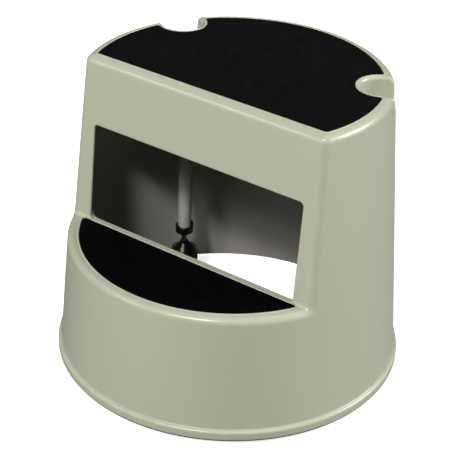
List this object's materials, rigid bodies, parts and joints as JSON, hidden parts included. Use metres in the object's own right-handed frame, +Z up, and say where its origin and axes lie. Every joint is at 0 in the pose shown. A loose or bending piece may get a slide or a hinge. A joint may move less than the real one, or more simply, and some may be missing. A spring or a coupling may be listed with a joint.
{
  "type": "kick step stool",
  "caption": "Round hollow two-step stool with rubber treads, a foot window, hand notches and sprung swivel casters that retract under load so the base rim grips the floor.",
  "frame": {"origin": "on the floor under the centre of the round base rim", "axes": "+Z up, -Y towards the front with the lower step and the foot window, +X to the right-hand side seen from the front; the stool stands at rest on its casters"},
  "size_m": [0.4699, 0.47, 0.411],
  "materials": {
    "body_plastic": "satin moulded putty-beige plastic with a fine grain",
    "tread_rubber": "matte, finely pebbled",
    "grip_rubber": "matte",
    "post_plastic": "satin moulded",
    "retainer_plastic": "semi-gloss moulded black",
    "hood_plastic": "gloss moulded black",
    "wheel_plastic": "satin moulded black, scuffed tread",
    "stem_steel": "bright zinc plate",
    "spring_steel": "oiled drawn wire"
  },
  "bodies": {
    "stool": {"body_shell": "body_plastic", "upper_tread": "tread_rubber", "lower_tread": "tread_rubber", "floor_grip_ring": "grip_rubber", "front_post": "post_plastic", "rear_left_post": "post_plastic", "rear_right_post": "post_plastic", "front_retainer": "retainer_plastic", "rear_left_retainer": "retainer_plastic", "rear_right_retainer": "retainer_plastic"},
    "front_plunger": {"front_stem": "stem_steel", "front_stem_clip": "stem_steel", "front_spring": "spring_steel"},
    "front_swivel": {"front_caster_hood": "hood_plastic", "front_axle": "stem_steel"},
    "front_wheel_1": {"front_wheel_1": "wheel_plastic"},
    "front_wheel_2": {"front_wheel_2": "wheel_plastic"},
    "rear_left_plunger": {"rear_left_stem": "stem_steel", "rear_left_stem_clip": "stem_steel", "rear_left_spring": "spring_steel"},
    "rear_left_swivel": {"rear_left_caster_hood": "hood_plastic", "rear_left_axle": "stem_steel"},
    "rear_left_wheel_1": {"rear_left_wheel_1": "wheel_plastic"},
    "rear_left_wheel_2": {"rear_left_wheel_2": "wheel_plastic"},
    "rear_right_plunger": {"rear_right_stem": "stem_steel", "rear_right_stem_clip": "stem_steel", "rear_right_spring": "spring_steel"},
    "rear_right_swivel": {"rear_right_caster_hood": "hood_plastic", "rear_right_axle": "stem_steel"},
    "rear_right_wheel_1": {"rear_right_wheel_1": "wheel_plastic"},
    "rear_right_wheel_2": {"rear_right_wheel_2": "wheel_plastic"}
  },
  "joints": [
    {"name": "front_retract", "type": "slide", "parent": "stool", "child": "front_plunger", "axis": [0, 0, 1], "range_m": [0, 0.008], "stiffness_N_per_m": 2000, "springref_m": -0.015, "deforming": ["front_spring"]},
    {"name": "front_swivel_turn", "type": "hinge", "parent": "front_plunger", "child": "front_swivel", "pos_m": [0, -0.165, 0.06], "axis": [0, 0, 1], "continuous": true},
    {"name": "front_wheel_1_spin", "type": "hinge", "parent": "front_swivel", "child": "front_wheel_1", "pos_m": [-0.01047, -0.1516, 0.027], "axis": [-0.788, -0.6157, 0], "continuous": true},
    {"name": "front_wheel_2_spin", "type": "hinge", "parent": "front_swivel", "child": "front_wheel_2", "pos_m": [-0.01047, -0.1516, 0.027], "axis": [-0.788, -0.6157, 0], "continuous": true},
    {"name": "rear_left_retract", "type": "slide", "parent": "stool", "child": "rear_left_plunger", "axis": [0, 0, 1], "range_m": [0, 0.008], "stiffness_N_per_m": 2000, "springref_m": -0.015, "deforming": ["rear_left_spring"]},
    {"name": "rear_left_swivel_turn", "type": "hinge", "parent": "rear_left_plunger", "child": "rear_left_swivel", "pos_m": [-0.14289, 0.0825, 0.06], "axis": [0, 0, 1], "continuous": true},
    {"name": "rear_left_wheel_1_spin", "type": "hinge", "parent": "rear_left_swivel", "child": "rear_left_wheel_1", "pos_m": [-0.15336, 0.0959, 0.027], "axis": [-0.788, -0.6157, 0], "continuous": true},
    {"name": "rear_left_wheel_2_spin", "type": "hinge", "parent": "rear_left_swivel", "child": "rear_left_wheel_2", "pos_m": [-0.15336, 0.0959, 0.027], "axis": [-0.788, -0.6157, 0], "continuous": true},
    {"name": "rear_right_retract", "type": "slide", "parent": "stool", "child": "rear_right_plunger", "axis": [0, 0, 1], "range_m": [0, 0.008], "stiffness_N_per_m": 2000, "springref_m": -0.015, "deforming": ["rear_right_spring"]},
    {"name": "rear_right_swivel_turn", "type": "hinge", "parent": "rear_right_plunger", "child": "rear_right_swivel", "pos_m": [0.14289, 0.0825, 0.06], "axis": [0, 0, 1], "continuous": true},
    {"name": "rear_right_wheel_1_spin", "type": "hinge", "parent": "rear_right_swivel", "child": "rear_right_wheel_1", "pos_m": [0.13243, 0.0959, 0.027], "axis": [-0.788, -0.6157, 0], "continuous": true},
    {"name": "rear_right_wheel_2_spin", "type": "hinge", "parent": "rear_right_swivel", "child": "rear_right_wheel_2", "pos_m": [0.13243, 0.0959, 0.027], "axis": [-0.788, -0.6157, 0], "continuous": true}
  ]
}
